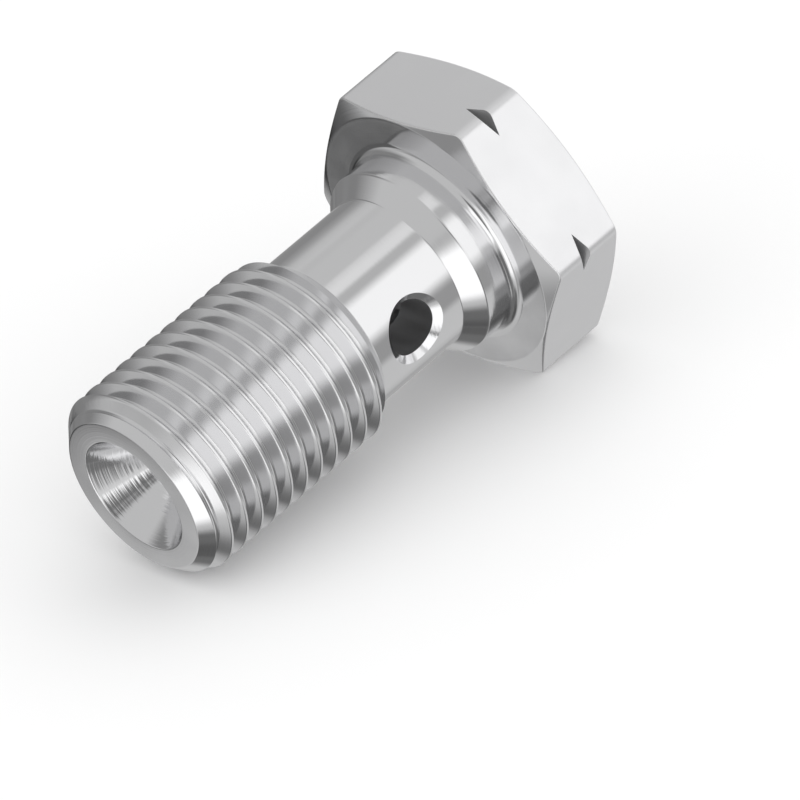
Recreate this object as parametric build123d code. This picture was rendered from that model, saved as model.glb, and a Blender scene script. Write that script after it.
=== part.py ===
"""Banjo bolt for an M10 x 1 thread, with a 14 mm hexagon head, turned and milled from one steel bar.

The bolt is worked out upright, with its tip face at height 0 and its axis on Z, and is then laid down
as it comes to rest: on the seat edge of one flat of the head and on the rim of the tip chamfer.
"""
import os
from math import atan, cos, degrees, radians, tan

from build123d import *

# Thread, as the plain cylinder over its crests
thread_diameter = 10.0
thread_length = 12.45

# Tip
tip_face_diameter = 8.1
mouth_diameter = 6.0
mouth_angle = 60.0

# Neck, collar and seat
neck_diameter = 8.3
neck_length = 5.4
collar_diameter = 10.0
collar_length = 1.3
seat_fillet = 0.5

# Head
across_flats = 14.0
head_height = 4.7
corner_round = 0.6
seat_diameter = 13.8
seat_bevel_angle = 20.0
crown_diameter = 13.3
crown_bevel_angle = 18.0

# Oil ways
bore_diameter = 3.3
bore_past_cross_hole = 0.85
drill_point_angle = 118.0
drill_point_flat = 0.4
cross_hole_diameter = 2.7
cross_hole_chamfer = 0.35
cross_hole_below_seat = 5.5

# V notches across two corners of the head
notch_depth = 0.6
notch_angle = 60.0
notch_above_seat = 2.15
# the notched corners and the flat that the head rests on, in degrees round from the cross hole
notch_corners = (0, -60)
resting_flat = 90

# Sizes that follow
thread_radius = thread_diameter / 2
tip_chamfer = (thread_diameter - tip_face_diameter) / 2
neck_radius = neck_diameter / 2
neck_end = thread_length + neck_length
collar_radius = collar_diameter / 2
collar_chamfer = collar_radius - neck_radius
seat_level = neck_end + collar_chamfer + collar_length + seat_fillet
crown_level = seat_level + head_height
corner_radius = across_flats / 2 / cos(radians(30))
cross_hole_level = seat_level - cross_hole_below_seat

# How far a cut runs out past the face that it opens
cut_clearance = 1.0


def turned(points):
    """Turn a closed outline of radius and height points about the axis."""
    return revolve(Plane.XZ * make_face(Polyline(*points, close=True)), Axis.Z)


def shank():
    """The stepped shank, with a chamfer at each end of the thread and a fillet under the head."""
    run_out = thread_radius - neck_radius
    outline = Polyline(
        (0, 0),
        (thread_radius - tip_chamfer, 0),
        (thread_radius, tip_chamfer),
        (thread_radius, thread_length - run_out),
        (neck_radius, thread_length),
        (neck_radius, neck_end),
        (collar_radius, neck_end + collar_chamfer),
        (collar_radius, seat_level - seat_fillet),
    )
    seat_corner = CenterArc(
        (collar_radius + seat_fillet, seat_level - seat_fillet), seat_fillet, 90, 90
    )
    closing = Polyline(
        (collar_radius + seat_fillet, seat_level),
        (collar_radius + seat_fillet, seat_level + head_height / 2),
        (0, seat_level + head_height / 2),
        (0, 0),
    )
    return revolve(Plane.XZ * make_face(outline + seat_corner + closing), Axis.Z)


def head():
    """The hexagon, with rounded corners, turned back to a cone at the seat and at the crown."""
    hexagon = extrude(Plane.XY.offset(seat_level) * RegularPolygon(corner_radius, 6), head_height)
    hexagon = fillet(hexagon.edges().filter_by(Axis.Z), corner_round)
    reach = corner_radius + cut_clearance
    seat_rise = (reach - seat_diameter / 2) * tan(radians(seat_bevel_angle))
    crown_drop = (reach - crown_diameter / 2) * tan(radians(crown_bevel_angle))
    blank = turned([
        (0, seat_level),
        (seat_diameter / 2, seat_level),
        (reach, seat_level + seat_rise),
        (reach, crown_level - crown_drop),
        (crown_diameter / 2, crown_level),
        (0, crown_level),
    ])
    return hexagon & blank


def axial_bore():
    """The blind bore from the tip, with its wide countersunk mouth and its blunt drill point."""
    mouth_radius = mouth_diameter / 2
    bore_radius = bore_diameter / 2
    point_radius = drill_point_flat / 2
    flare = tan(radians(mouth_angle / 2))
    bore_end = cross_hole_level + cross_hole_diameter / 2 + bore_past_cross_hole
    point = (bore_radius - point_radius) / tan(radians(drill_point_angle / 2))
    return turned([
        (0, -cut_clearance),
        (mouth_radius + cut_clearance * flare, -cut_clearance),
        (bore_radius, (mouth_radius - bore_radius) / flare),
        (bore_radius, bore_end),
        (point_radius, bore_end + point),
        (0, bore_end + point),
    ])


def drill_cross_hole(blank):
    """Drill the cross hole right through the neck and chamfer its two rims."""
    axis_plane = Plane(origin=(0, 0, cross_hole_level), x_dir=(0, 1, 0), z_dir=(1, 0, 0))
    drill = extrude(axis_plane * Circle(cross_hole_diameter / 2), collar_radius, both=True)
    drilled = blank - drill
    rims = new_edges(blank, drill, combined=drilled)
    return chamfer(rims, cross_hole_chamfer)


def notch(corner_angle):
    """A V groove straight across one corner of the head."""
    half_width = (notch_depth + cut_clearance) * tan(radians(notch_angle / 2))
    bottom = corner_radius - notch_depth
    level = seat_level + notch_above_seat
    outline = Plane.XZ * make_face(Polyline(
        (bottom, level),
        (bottom + notch_depth + cut_clearance, level - half_width),
        (bottom + notch_depth + cut_clearance, level + half_width),
        close=True,
    ))
    groove = extrude(outline, across_flats / 2, both=True)
    return Rot(0, 0, corner_angle) * groove


def laid_down(bolt):
    """Lay the bolt on the seat edge of one flat and on the rim of the tip chamfer below that flat."""
    bevel_reach = max(across_flats - seat_diameter, 0) / 2
    seat_edge = seat_level + bevel_reach * tan(radians(seat_bevel_angle))
    tilt = degrees(atan((across_flats / 2 - thread_radius) / (seat_edge - tip_chamfer)))
    # the resting flat is turned to face down, the axis goes from Z to X, and the tip end is lowered
    lying = Rot(0, 0, -resting_flat) * bolt
    lying = Rot(0, 90, 0) * lying
    lying = Rot(0, -tilt, 0) * lying
    box = lying.bounding_box()
    return Pos(-box.center().X, -box.center().Y, -box.min.Z) * lying


def banjo_bolt():
    """The whole bolt, standing on its tip."""
    bolt = drill_cross_hole(shank()) + head() - axial_bore()
    for corner_angle in notch_corners:
        bolt = bolt - notch(corner_angle)
    return bolt


os.makedirs("parts", exist_ok=True)
part = laid_down(banjo_bolt())
export_step(part, "parts/banjo_bolt.step")
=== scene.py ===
from math import atan, atan2, cos, degrees, hypot, pi, radians, sin, tan

import bmesh
import bpy
from mathutils import Matrix, Vector


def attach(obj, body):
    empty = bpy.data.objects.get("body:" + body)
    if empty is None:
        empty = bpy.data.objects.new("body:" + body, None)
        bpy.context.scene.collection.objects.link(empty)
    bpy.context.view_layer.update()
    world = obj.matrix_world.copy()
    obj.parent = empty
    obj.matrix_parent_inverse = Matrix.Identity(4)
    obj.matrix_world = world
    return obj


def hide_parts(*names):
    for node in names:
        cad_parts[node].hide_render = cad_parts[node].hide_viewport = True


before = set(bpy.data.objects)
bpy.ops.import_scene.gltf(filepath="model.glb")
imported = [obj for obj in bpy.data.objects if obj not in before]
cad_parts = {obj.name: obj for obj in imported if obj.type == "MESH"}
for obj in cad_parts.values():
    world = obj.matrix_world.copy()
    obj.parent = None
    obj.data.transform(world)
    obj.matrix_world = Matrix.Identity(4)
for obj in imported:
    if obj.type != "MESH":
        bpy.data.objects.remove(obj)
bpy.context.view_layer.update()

# The bolt's blank: a steel bar turned in one setting, with the shank, neck, collar and seat on the
# outside and the countersunk oil bore inside. The head keeps the bar's hexagon, chamfered at both
# ends. It is worked out upright in millimetres, with its tip face at height 0, and laid down last.
thread_radius = 5.0
thread_length = 12.45
tip_chamfer = 0.95
neck_radius = 4.15
neck_end = 17.85
collar_radius = 5.0
seat_level = 20.5
seat_fillet = 0.5
crown_level = 25.2
flat_radius = 7.0
corner_round = 0.6
seat_radius, seat_bevel = 6.9, tan(radians(20))
crown_radius, crown_bevel = 6.65, tan(radians(18))
mouth_radius, mouth_flare = 3.0, tan(radians(30))
bore_radius = 1.65
bore_end = 17.2
point_radius, point_slope = 0.2, tan(radians(59))
# the head's rings past this radius follow the hexagon, and this share of their spacing stays even
head_rings_from = 6.7
even_share = 0.15
same_point = 1e-5


def blank_corners(reach):
    """Radius, height and size of round of the half section's corners, for one reach of the hexagon."""
    point_level = bore_end + (bore_radius - point_radius) / point_slope
    return [
        (0, point_level, 0),
        (point_radius, point_level, 0.03),
        (bore_radius, bore_end, 0.03),
        (bore_radius, (mouth_radius - bore_radius) / mouth_flare, 0.08),
        (mouth_radius, 0, 0.05),
        (thread_radius - tip_chamfer, 0, 0.05),
        (thread_radius, tip_chamfer, 0.04),
        (thread_radius, thread_length - thread_radius + neck_radius, 0.04),
        (neck_radius, thread_length, 0.04),
        (neck_radius, neck_end, 0.04),
        (collar_radius, neck_end + collar_radius - neck_radius, 0.06),
        (collar_radius, seat_level, seat_fillet),
        (seat_radius, seat_level, 0.05),
        (reach, seat_level + (reach - seat_radius) * seat_bevel, 0.09),
        (reach, crown_level - (reach - crown_radius) * crown_bevel, 0.07),
        (crown_radius, crown_level, 0.06),
        (0, crown_level, 0),
    ]


def rounded(before, corner, after, size):
    """A sharp corner of an outline as a small round, from size before it to size after it."""
    start = corner + (before - corner).normalized() * size
    end = corner + (after - corner).normalized() * size
    cuts = 6 if size == seat_fillet else 3
    parts = [k / cuts for k in range(cuts + 1)]
    return [start.lerp(corner, t).lerp(corner.lerp(end, t), t) for t in parts]


def half_section(reach):
    """The blank from the drill point round to the crown, with its corners rounded, for one reach."""
    corners = blank_corners(reach)
    sharp = [Vector((r, z)) for r, z, size in corners]
    points = [sharp[0]]
    for k in range(1, len(sharp) - 1):
        points += rounded(sharp[k - 1], sharp[k], sharp[k + 1], corners[k][2])
    return points + [sharp[-1]]


def hexagon_reach(angle):
    """How far the hexagon with its rounded corners reaches from the axis at an angle."""
    off_corner = abs((angle + pi / 6) % (pi / 3) - pi / 6)
    centre = (flat_radius - corner_round) / cos(pi / 6)
    if off_corner < atan(corner_round / 2 / (centre + corner_round * cos(pi / 6))):
        return centre * cos(off_corner) + (corner_round**2 - (centre * sin(off_corner)) ** 2) ** 0.5
    return flat_radius / cos(pi / 6 - off_corner)


def closed_solid(bm, name):
    """An object of a closed mesh, with its faces pointing outwards."""
    bmesh.ops.recalc_face_normals(bm, faces=bm.faces)
    mesh = bpy.data.meshes.new(name)
    bm.to_mesh(mesh)
    bm.free()
    solid = bpy.data.objects.new(name, mesh)
    bpy.context.collection.objects.link(solid)
    return solid


bm = bmesh.new()
ring = bm.verts.layers.int.new("ring")
chain = []
for k, (r, z) in enumerate(half_section(flat_radius)):
    vert = bm.verts.new((r, 0, z))
    vert[ring] = k
    chain.append(vert)
edges = [bm.edges.new(pair) for pair in zip(chain, chain[1:])]
bmesh.ops.spin(
    bm, geom=chain + edges, cent=(0, 0, 0), axis=(0, 0, 1), angle=2 * pi, steps=360, use_merge=True
)
bmesh.ops.remove_doubles(bm, verts=bm.verts, dist=same_point)
# the head's rings have one point to a degree, and these are drawn together at its rounded corners
sections = {}
for vert in bm.verts:
    if hypot(vert.co.x, vert.co.y) > head_rings_from and vert.co.z > seat_level - 0.01:
        degree = round(degrees(atan2(vert.co.y, vert.co.x))) % 360
        off_corner = (degree + 30) % 60 - 30
        part = off_corner / 30
        angle = radians(degree - off_corner + 30 * (even_share * part + (1 - even_share) * part**3))
        if degree not in sections:
            sections[degree] = half_section(hexagon_reach(angle))
        r, z = sections[degree][vert[ring]]
        vert.co = (r * cos(angle), r * sin(angle), z)
bolt = closed_solid(bm, "bolt")

# The thread: a right-hand 60 degree groove cut along the shank at one turn to the millimetre, with
# a round root and softened crests. It runs out through the chamfer at each end.
thread_pitch = 1.0
thread_turns = 15
root_radius, root_round = 4.396, 0.15
crest_round, crest_flat = 0.06, 0.06
groove_outer_radius = 5.06
# the groove's middle starts at this height, off the tip
groove_start = -1.274
groove_steps = 96

half_mouth = (thread_pitch - crest_flat) / 2
root = [
    (root_round * sin(radians(t)), root_radius + root_round * (1 - cos(radians(t))))
    for t in (0, 20, 40, 60)
]
crest = [
    (half_mouth - crest_round * sin(radians(t)), thread_radius - crest_round * (1 - cos(radians(t))))
    for t in (60, 40, 20)
]
half = root + crest + [(half_mouth, groove_outer_radius)]
bm = bmesh.new()
profile = [bm.verts.new((r, 0, groove_start - z)) for z, r in reversed(half[1:])]
profile += [bm.verts.new((r, 0, groove_start + z)) for z, r in half]
bmesh.ops.spin(
    bm,
    geom=[bm.faces.new(profile)],
    cent=(0, 0, 0),
    axis=(0, 0, 1),
    dvec=(0, 0, thread_pitch / groove_steps),
    angle=2 * pi * thread_turns,
    steps=groove_steps * thread_turns,
)
bmesh.ops.remove_doubles(bm, verts=bm.verts, dist=same_point)
cuts = [closed_solid(bm, "thread_groove")]

# The oil ways: a cross hole drilled right through the neck into the bore. Its two rims are broken
# with a countersink, and each rim dips and rises with the round neck.
cross_hole_level = 15.0
cross_hole_radius = 1.35
cross_hole_chamfer = 0.35
rim_radius = cross_hole_radius + cross_hole_chamfer

bm = bmesh.new()
sides = []
for side in (-1, 1):
    loops = []
    # from the foot of the chamfer to its rim on the neck, and on at the same slope to clear the neck
    for radius, lift in ((cross_hole_radius, -cross_hole_chamfer), (rim_radius, 0), (rim_radius + 1, 1)):
        circle = bmesh.ops.create_circle(bm, segments=96, radius=radius)["verts"]
        for vert in circle:
            across = vert.co.y * min(radius, rim_radius) / radius
            out = (neck_radius**2 - across**2) ** 0.5 + lift
            vert.co = (side * out, vert.co.y, cross_hole_level + vert.co.x)
        loops.append(list({edge for vert in circle for edge in vert.link_edges}))
    for lower, upper in zip(loops, loops[1:]):
        bmesh.ops.bridge_loops(bm, edges=lower + upper)
    bmesh.ops.contextual_create(bm, geom=loops[-1])
    sides.append(loops[0])
bmesh.ops.bridge_loops(bm, edges=sides[0] + sides[1])
cuts.append(closed_solid(bm, "cross_hole"))

# The marks on the head: a 60 degree V groove filed straight across each of two neighbouring corners
# of the hexagon, with its depth measured from the rounded corner.
notch_depth = 0.517
notch_level = seat_level + 2.15
notch_clearance = 1.0
notch_length = 14.0

for corner_angle in (0, -60):
    bm = bmesh.new()
    bottom = hexagon_reach(0) - notch_depth
    outside = hexagon_reach(0) + notch_clearance
    half_width = (outside - bottom) * tan(radians(30))
    triangle = (
        (bottom, notch_level), (outside, notch_level - half_width), (outside, notch_level + half_width)
    )
    profile = [bm.verts.new((r, -notch_length / 2, z)) for r, z in triangle]
    pushed = bmesh.ops.extrude_face_region(bm, geom=[bm.faces.new(profile)])["geom"]
    far_end = [item for item in pushed if isinstance(item, bmesh.types.BMVert)]
    bmesh.ops.translate(bm, vec=(0, notch_length, 0), verts=far_end)
    turn = Matrix.Rotation(radians(corner_angle), 3, "Z")
    bmesh.ops.rotate(bm, cent=(0, 0, 0), matrix=turn, verts=bm.verts)
    cuts.append(closed_solid(bm, "notch"))


def applied(piece):
    """The mesh of a piece with its modifiers applied, which are then taken off it."""
    mesh = bpy.data.meshes.new_from_object(piece.evaluated_get(bpy.context.evaluated_depsgraph_get()))
    piece.modifiers.clear()
    return mesh


for tool in cuts:
    cut = bolt.modifiers.new("cut", "BOOLEAN")
    cut.object = tool
    cut.operation = "DIFFERENCE"
    cut.solver = "EXACT"
made = applied(bolt)
for tool in cuts:
    bpy.data.objects.remove(tool)
# slivers of the cuts, under a tenth of a micrometre, are merged away
sliver = 1e-4
bm = bmesh.new()
bm.from_mesh(made)
bmesh.ops.remove_doubles(bm, verts=bm.verts, dist=sliver)
bmesh.ops.dissolve_degenerate(bm, dist=sliver, edges=bm.edges)
bm.to_mesh(made)
bm.free()
# soft edges shade smoothly, and the wide faces stay flat right up to them
made.polygons.foreach_set("use_smooth", [True] * len(made.polygons))
made.set_sharp_from_angle(angle=radians(24))
bolt.data = made
bolt.modifiers.new("even_faces", "WEIGHTED_NORMAL").keep_sharp = True
made = applied(bolt)
bolt.data = made

# The bolt's rest: it lies on the seat edge of one flat and on the rim of the tip chamfer below it, with
# the tip face's upper rim and the crown's lower rim equally far from the middle.
seat_edge_level = seat_level + (flat_radius - seat_radius) * seat_bevel
tilt = atan((flat_radius - thread_radius) / (seat_edge_level - tip_chamfer))
rim_difference = crown_radius - thread_radius + tip_chamfer
tip_centre = Vector((
    -(crown_level * cos(tilt) + rim_difference * sin(tilt)) / 2,
    0,
    thread_radius * cos(tilt) - tip_chamfer * sin(tilt),
))
laid = Matrix((
    (0, sin(tilt), cos(tilt), tip_centre.x),
    (-1, 0, 0, 0),
    (0, -cos(tilt), sin(tilt), tip_centre.z),
    (0, 0, 0, 1),
))

# The bolt's finish: bright plated steel, turned, faced and threaded in fine rings, still drawn on the
# flats, and scored more coarsely where it was drilled and filed.
# The drilled holes and the filed notches are darker as painted shade in these recesses, and the drawn
# flats are brighter as painted sheen.


def node_group(name, inputs, output):
    """A new shader node group, with the sockets that it is given and the one that it puts out."""
    group = bpy.data.node_groups.new(name, "ShaderNodeTree")
    for socket in inputs:
        kind = "NodeSocketVector" if socket in ("Vector", "Stretch") else "NodeSocketFloat"
        group.interface.new_socket(socket, in_out="INPUT", socket_type=kind)
    group.interface.new_socket(output, in_out="OUTPUT", socket_type="NodeSocketFloat")
    given, result = group.nodes.new("NodeGroupInput"), group.nodes.new("NodeGroupOutput")
    return group, given.outputs, result.inputs[output]


def fed_node(tree, kind, *values, **settings):
    """A node with its settings, and with its inputs fed in turn by sockets and plain values."""
    node = tree.nodes.new(kind)
    for setting, value in settings.items():
        setattr(node, setting, value)
    for socket, value in zip(node.inputs, values):
        if isinstance(value, bpy.types.NodeSocket):
            tree.links.new(value, socket)
        else:
            socket.default_value = value
    return node


def math_output(tree, operation, *values):
    """The output of a Math node, fed by sockets and numbers."""
    return fed_node(tree, "ShaderNodeMath", *values, operation=operation).outputs["Value"]


# the roughness clouds a little from place to place, by the millimetre
cloud, given, roughness = node_group("steel_cloud", ["Vector", "Smoothest", "Roughest"], "Roughness")
noise = fed_node(cloud, "ShaderNodeTexNoise", given["Vector"])
noise.inputs["Scale"].default_value = 0.55
noise.inputs["Detail"].default_value = 4
spread = fed_node(
    cloud, "ShaderNodeMapRange", noise.outputs["Fac"], 0.3, 0.7, given["Smoothest"], given["Roughest"]
)
cloud.links.new(spread.outputs["Result"], roughness)

# tool rings run round the bolt and are deeper in the mouth: they are a noise along the bolt, which moves
# on with the radius, so that its cones and faces have rings too
radius_share = 0.6
mouth_rings_to = 2.4
mouth_depth_gain = 4
rings, given, height = node_group("tool_rings", ["Vector"], "Height")
along = fed_node(rings, "ShaderNodeSeparateXYZ", given["Vector"]).outputs["X"]
across = fed_node(rings, "ShaderNodeVectorMath", given["Vector"], (0, 1, 1), operation="MULTIPLY")
length = fed_node(rings, "ShaderNodeVectorMath", across.outputs["Vector"], operation="LENGTH")
radius = length.outputs["Value"]
noise = fed_node(rings, "ShaderNodeTexNoise", noise_dimensions="1D")
noise.inputs["Scale"].default_value = 9
noise.inputs["Detail"].default_value = 3
rings.links.new(math_output(rings, "MULTIPLY_ADD", radius, radius_share, along), noise.inputs["W"])
near_tip = math_output(rings, "LESS_THAN", along, mouth_rings_to)
inside = math_output(rings, "LESS_THAN", radius, mouth_radius + 0.02)
in_mouth = math_output(rings, "MULTIPLY", near_tip, inside)
depth = math_output(rings, "MULTIPLY_ADD", in_mouth, mouth_depth_gain, 1)
rings.links.new(math_output(rings, "MULTIPLY", noise.outputs["Fac"], depth), height)

# scored lines are a noise that is stretched one way
scores, given, height = node_group("scored_lines", ["Vector", "Stretch", "Scale"], "Height")
stretched = fed_node(
    scores, "ShaderNodeVectorMath", given["Vector"], given["Stretch"], operation="MULTIPLY"
)
noise = fed_node(scores, "ShaderNodeTexNoise", stretched.outputs["Vector"])
noise.inputs["Detail"].default_value = 3
scores.links.new(given["Scale"], noise.inputs["Scale"])
scores.links.new(noise.outputs["Fac"], height)

# each steel's brightness, which holds painted shade for the drilled holes and filed notches and painted
# sheen for the drawn flats, least and greatest roughness, depth of its lines in metres, and the stretch
# and scale of scored lines, or None for tool rings
steels = {
    "turned_steel": (0.80, 0.09, 0.13, 1.5e-6, None),
    # the drawn flats' steel is brighter than the turned steel as painted sheen
    "drawn_steel_painted_sheen": (0.94, 0.36, 0.42, 1.0e-6, ((0.05, 1, 1), 5)),
    # the drilled holes' steel is darker as painted shade in the bore and cross hole
    "drilled_steel_painted_shade": (0.62, 0.38, 0.48, 6.0e-6, ((3, 0.6, 0.6), 3)),
    # the filed notches' steel is darker still as painted shade in the notches
    "filed_steel_painted_shade": (0.42, 0.35, 0.45, 8.0e-6, ((2, 0.1, 0.1), 4)),
    "faced_steel": (0.80, 0.09, 0.13, 0.4e-6, None),
    "threaded_steel": (0.80, 0.12, 0.15, 0.3e-6, None),
}
for name, (brightness_with_painted_light, smoothest, roughest, line_depth, scoring) in steels.items():
    steel = bpy.data.materials.new(name)
    steel.use_nodes = True
    tree = steel.node_tree
    shader = tree.nodes["Principled BSDF"].inputs
    shader["Metallic"].default_value = 1.0
    shader["Base Color"].default_value = (brightness_with_painted_light, brightness_with_painted_light, brightness_with_painted_light * 1.01, 1)
    # X runs along the bolt from its tip face, in millimetres, and Y and Z go across it
    place = tree.nodes.new("ShaderNodeTexCoord").outputs["Object"]
    axis = fed_node(tree, "ShaderNodeMapping", place)
    axis.inputs["Scale"].default_value = (1000, 1000, 1000)
    axis.inputs["Rotation"].default_value = (0, tilt, 0)
    axis.inputs["Location"].default_value = -(Matrix.Rotation(tilt, 3, "Y") @ tip_centre)
    clouded = fed_node(tree, "ShaderNodeGroup", node_tree=cloud)
    tree.links.new(axis.outputs["Vector"], clouded.inputs["Vector"])
    clouded.inputs["Smoothest"].default_value = smoothest
    clouded.inputs["Roughest"].default_value = roughest
    tree.links.new(clouded.outputs["Roughness"], shader["Roughness"])
    lines = fed_node(tree, "ShaderNodeGroup", node_tree=scores if scoring else rings)
    tree.links.new(axis.outputs["Vector"], lines.inputs["Vector"])
    if scoring:
        lines.inputs["Stretch"].default_value, lines.inputs["Scale"].default_value = scoring
    bump = fed_node(tree, "ShaderNodeBump")
    bump.inputs["Strength"].default_value = 1.0
    bump.inputs["Distance"].default_value = line_depth
    tree.links.new(lines.outputs["Height"], bump.inputs["Height"])
    tree.links.new(bump.outputs["Normal"], shader["Normal"])
    made.materials.append(steel)

# where each way of working the steel shows, with the painted shade in the bore, cross hole and notches
# and the painted sheen on the flats
drilled_from = 2.3
notch_half_height = 0.45
slots = {name: k for k, name in enumerate(steels)}
for face in made.polygons:
    x, y, z = face.center
    around, steep = hypot(x, y), abs(face.normal.z)
    in_bore = around < bore_radius + 0.05 and z > drilled_from
    in_cross_hole = hypot(y, z - cross_hole_level) < cross_hole_radius + 0.01 and abs(face.normal.x) < 0.3
    finish_with_painted_light = "turned_steel"
    if in_bore or in_cross_hole:
        finish_with_painted_light = "drilled_steel_painted_shade"
    elif around > seat_radius and abs(z - notch_level) < notch_half_height and steep > 0.5:
        finish_with_painted_light = "filed_steel_painted_shade"
    elif around > seat_radius and z > seat_level and steep < 0.6:
        finish_with_painted_light = "drawn_steel_painted_sheen"
    elif steep > 0.99:
        finish_with_painted_light = "faced_steel"
    elif around > root_radius - 0.01 and z < thread_length:
        finish_with_painted_light = "threaded_steel"
    face.material_index = slots[finish_with_painted_light]
made.transform(Matrix.Scale(0.001, 4) @ laid)
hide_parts("banjo_bolt")
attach(bolt, "root")

# The studio: a plain pale floor, lit softly from above. It stays out of the steel's reflections, which
# see the soft boxes and screens of the studio instead.
floor_half = 3.0

bm = bmesh.new()
bmesh.ops.create_grid(bm, x_segments=1, y_segments=1, size=floor_half)
floor_mesh = bpy.data.meshes.new("floor")
bm.to_mesh(floor_mesh)
bm.free()
floor = bpy.data.objects.new("floor", floor_mesh)
bpy.context.collection.objects.link(floor)
floor_paint = bpy.data.materials.new("floor_paint")
floor_paint.use_nodes = True
paint = floor_paint.node_tree.nodes["Principled BSDF"].inputs
paint["Base Color"].default_value = (0.9, 0.9, 0.9, 1)
paint["Roughness"].default_value = 0.9
paint["Specular IOR Level"].default_value = 0.0
floor_mesh.materials.append(floor_paint)
floor.visible_glossy = False
floor.visible_shadow = False

overhead = bpy.data.objects.new("overhead", bpy.data.lights.new("overhead", "SUN"))
overhead.data.energy = 1.7
overhead.data.angle = radians(150)
overhead.visible_glossy = False
bpy.context.collection.objects.link(overhead)

# One screen of the studio covers a stretch of directions, in degrees and with a soft border, over the
# screens that come before it in the list.
spans = (("Azimuth", "Middle", "Half Width"), ("Elevation", "Level", "Half Height"))
measures = ("Middle", "Half Width", "Level", "Half Height", "Border", "Light")
screen, given, value = node_group("studio_screen", ["Below", "Azimuth", "Elevation", *measures], "Value")
covers = []
for direction, middle, half in spans:
    off = math_output(screen, "SUBTRACT", given[direction], given[middle])
    off = math_output(screen, "ABSOLUTE", math_output(screen, "WRAP", off, 180, -180))
    inside = math_output(screen, "SUBTRACT", given[half], off)
    inside = math_output(screen, "DIVIDE", inside, given["Border"])
    cover = fed_node(screen, "ShaderNodeMath", inside, 0.5, operation="ADD", use_clamp=True)
    covers.append(cover.outputs["Value"])
cover = math_output(screen, "MULTIPLY", *covers)
change = math_output(screen, "SUBTRACT", given["Light"], given["Below"])
screen.links.new(math_output(screen, "MULTIPLY_ADD", change, cover, given["Below"]), value)

# each screen's middle azimuth, half width, middle elevation, half height, border and light
screens = [
    # straight below, and low on the tip's side
    (0, 180, -90, 26, 12, 0.17),
    (165, 45, -71, 10, 14, 0.09),
    (205, 30, -64, 8, 8, 0.16),
    # the far side
    (90, 32, 22, 32, 26, 0.25),
    (92, 26, -12, 14, 18, 0.24),
    (62, 8, -2, 16, 10, 0.28),
    (150, 16, -9, 12, 14, 0.29),
    (113, 20, -27, 12, 6, 0.11),
    (66, 10, -25, 7, 6, 0.20),
    (94, 12, -26, 8, 8, 0.04),
    (92, 40, -47.5, 11.1, 1.0, 0.55),
    (131, 7, -38, 2, 2, 0.15),
    (160, 10, -47, 6, 8, 0.33),
    (48, 6, 0, 30, 10, 0.60),
    (50, 14, 38, 12, 12, 0.62),
    # the head's side
    (12, 14, -48, 10, 10, 0.54),
    (42, 18, -46, 10, 8, 0.42),
    (322, 30, 62, 6, 6, 0.84),
    (335, 34, -50, 10, 10, 0.62),
    # the camera's side, round to the near side
    (217, 11, 22, 12, 7, 0.16),
    (231, 9, 13, 13, 7, 0.18),
    (206, 24, -22, 23.5, 8, 1.27),
    (236, 9, -26, 22, 6, 0.75),
    (236, 12, -57, 10, 8, 0.28),
    (262, 18, -40, 28, 8, 0.18),
    (300, 16, -22, 13, 8, 0.36),
    (255, 18, 18, 21, 6, 1.25),
    (276, 6, 12, 20, 5, 0.70),
    (308, 20, 51, 6.5, 3, 0.52),
    (299, 17, 21, 23, 10, 1.11),
]
bare_wall = 0.60
world = bpy.data.worlds.new("studio")
world.use_nodes = True
tree = world.node_tree
place = tree.nodes.new("ShaderNodeTexCoord").outputs["Generated"]
direction = fed_node(tree, "ShaderNodeSeparateXYZ", place).outputs
azimuth = math_output(tree, "DEGREES", math_output(tree, "ARCTAN2", direction["Y"], direction["X"]))
elevation = math_output(tree, "DEGREES", math_output(tree, "ARCSINE", direction["Z"]))
light = math_output(tree, "ADD", bare_wall, 0.0)
for row in screens:
    patch = fed_node(tree, "ShaderNodeGroup", node_tree=screen)
    tree.links.new(light, patch.inputs["Below"])
    tree.links.new(azimuth, patch.inputs["Azimuth"])
    tree.links.new(elevation, patch.inputs["Elevation"])
    for measure, number in zip(measures, row):
        patch.inputs[measure].default_value = number
    light = patch.outputs["Value"]
glow = tree.nodes["Background"]
glow.inputs["Color"].default_value = (1, 1, 1, 1)
tree.links.new(light, glow.inputs["Strength"])
# the camera itself sees an even pale wall
seen = tree.nodes.new("ShaderNodeLightPath").outputs["Is Camera Ray"]
wall = fed_node(tree, "ShaderNodeBackground", (0.93, 0.93, 0.93, 1))
either = fed_node(tree, "ShaderNodeMixShader", seen)
tree.links.new(glow.outputs["Background"], either.inputs[1])
tree.links.new(wall.outputs["Background"], either.inputs[2])
tree.links.new(either.outputs["Shader"], tree.nodes["World Output"].inputs["Surface"])
bpy.context.scene.world = world

# The camera: a long lens at the photo's viewing angle.
camera_data = bpy.data.cameras.new("camera")
camera = bpy.data.objects.new("camera", camera_data)
bpy.context.collection.objects.link(camera)
camera_data.lens = 493.147
camera_data.sensor_width = 36
camera_data.clip_start, camera_data.clip_end = 0.05, 5
camera.location = (-0.2609338, -0.3518011, 0.2598994)
camera.rotation_euler = (radians(58.6959), radians(12.3098), radians(-44.3110))
bpy.context.scene.camera = camera
bpy.context.scene.view_settings.view_transform = "Standard"
